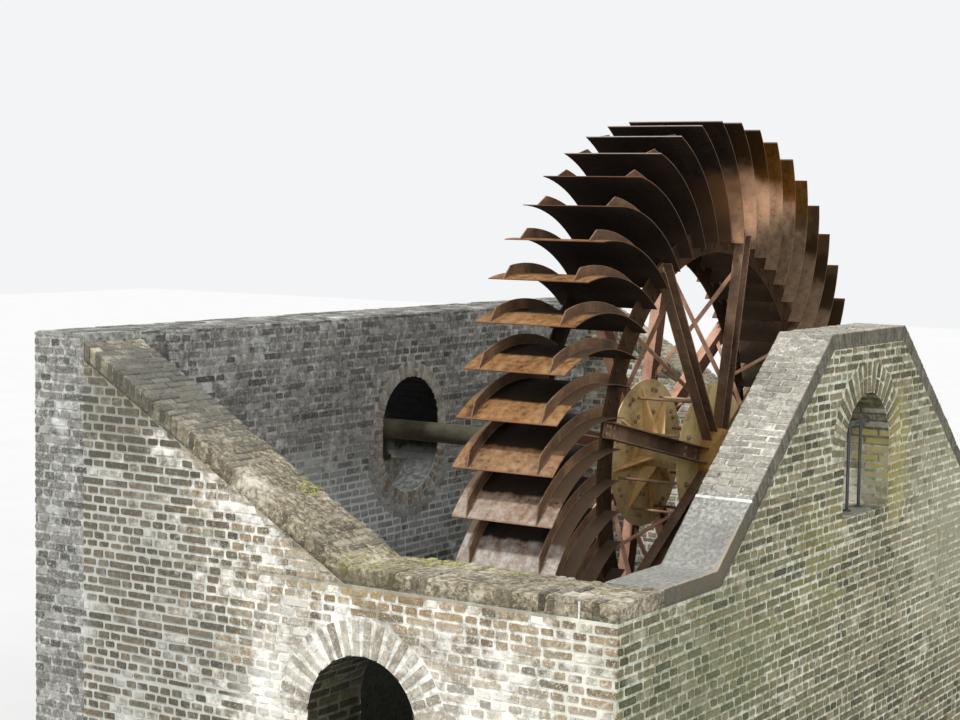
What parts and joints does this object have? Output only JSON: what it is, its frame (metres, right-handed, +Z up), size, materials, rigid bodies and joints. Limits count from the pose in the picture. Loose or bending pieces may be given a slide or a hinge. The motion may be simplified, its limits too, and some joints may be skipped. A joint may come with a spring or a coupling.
{
  "type": "water wheel",
  "caption": "Steel water wheel with curved blades on a hollow shaft, in a brick wheel pit with arched culverts, a humped outer wall with a hatch, and a mill-side wall.",
  "frame": {"origin": "at the foot of the walls, in the middle of the plan", "axes": "+X along the shaft from the mill wall to the outer wall, +Y along the channel towards the head race, +Z up"},
  "size_m": [4.96, 7.554, 5.3478],
  "materials": {
    "coping_brick": "weathered brick on edge with pale joints",
    "arch_brick": "worn brick ring with lichen",
    "padstone": "rough sandy render",
    "mill_brick": "brown brick with grey mortar",
    "wall_brick": "grey-brown brick with pale mortar",
    "limed_brick": "brick with lime bloom",
    "bearing_iron": "dull, greasy and rusted",
    "grille_iron": "worn black paint",
    "blade_steel": "rusted plate",
    "rib_steel": "rusted plate",
    "ring_steel": "rusted plate",
    "spoke_steel": "rusted section",
    "ochre_steel": "worn ochre coating",
    "boss_steel": "bright rust",
    "rod_steel": "rusted rod",
    "shaft_steel": "olive-brown rust"
  },
  "bodies": {
    "pit": {"outer_wall_front": "wall_brick", "outer_wall_back": "wall_brick", "outer_arch": "arch_brick", "outer_coping_front": "coping_brick", "outer_coping_top": "coping_brick", "outer_coping_back": "coping_brick", "front_wall_left": "limed_brick", "front_wall_right": "limed_brick", "front_arch": "arch_brick", "front_coping": "coping_brick", "back_wall_left": "limed_brick", "back_wall_right": "limed_brick", "back_arch": "arch_brick", "back_coping": "coping_brick", "mill_wall_front": "mill_brick", "mill_wall_back": "mill_brick", "eye_ring": "arch_brick", "padstone": "padstone", "bearing_pier": "wall_brick", "outer_bearing": "bearing_iron", "mill_bearing": "bearing_iron", "hatch_grille": "grille_iron"},
    "wheel": {"shaft": "shaft_steel", "sleeve": "ochre_steel", "near_disc": "ochre_steel", "far_disc": "ochre_steel", "near_boss": "boss_steel", "far_boss": "boss_steel", "near_gussets": "ochre_steel", "far_gussets": "ochre_steel", "tie_rods": "rod_steel", "near_spokes": "spoke_steel", "far_spokes": "spoke_steel", "braces": "spoke_steel", "near_ring": "ring_steel", "far_ring": "ring_steel", "near_ribs": "rib_steel", "far_ribs": "rib_steel", "blades_1": "blade_steel", "blades_2": "blade_steel", "blades_3": "blade_steel", "blades_4": "blade_steel", "blades_5": "blade_steel", "blades_6": "blade_steel", "blades_7": "blade_steel", "blades_8": "blade_steel"}
  },
  "joints": [
    {"name": "wheel_turn", "type": "hinge", "parent": "pit", "child": "wheel", "pos_m": [0.92, 0, 2.75], "axis": [1, 0, 0], "continuous": true}
  ]
}
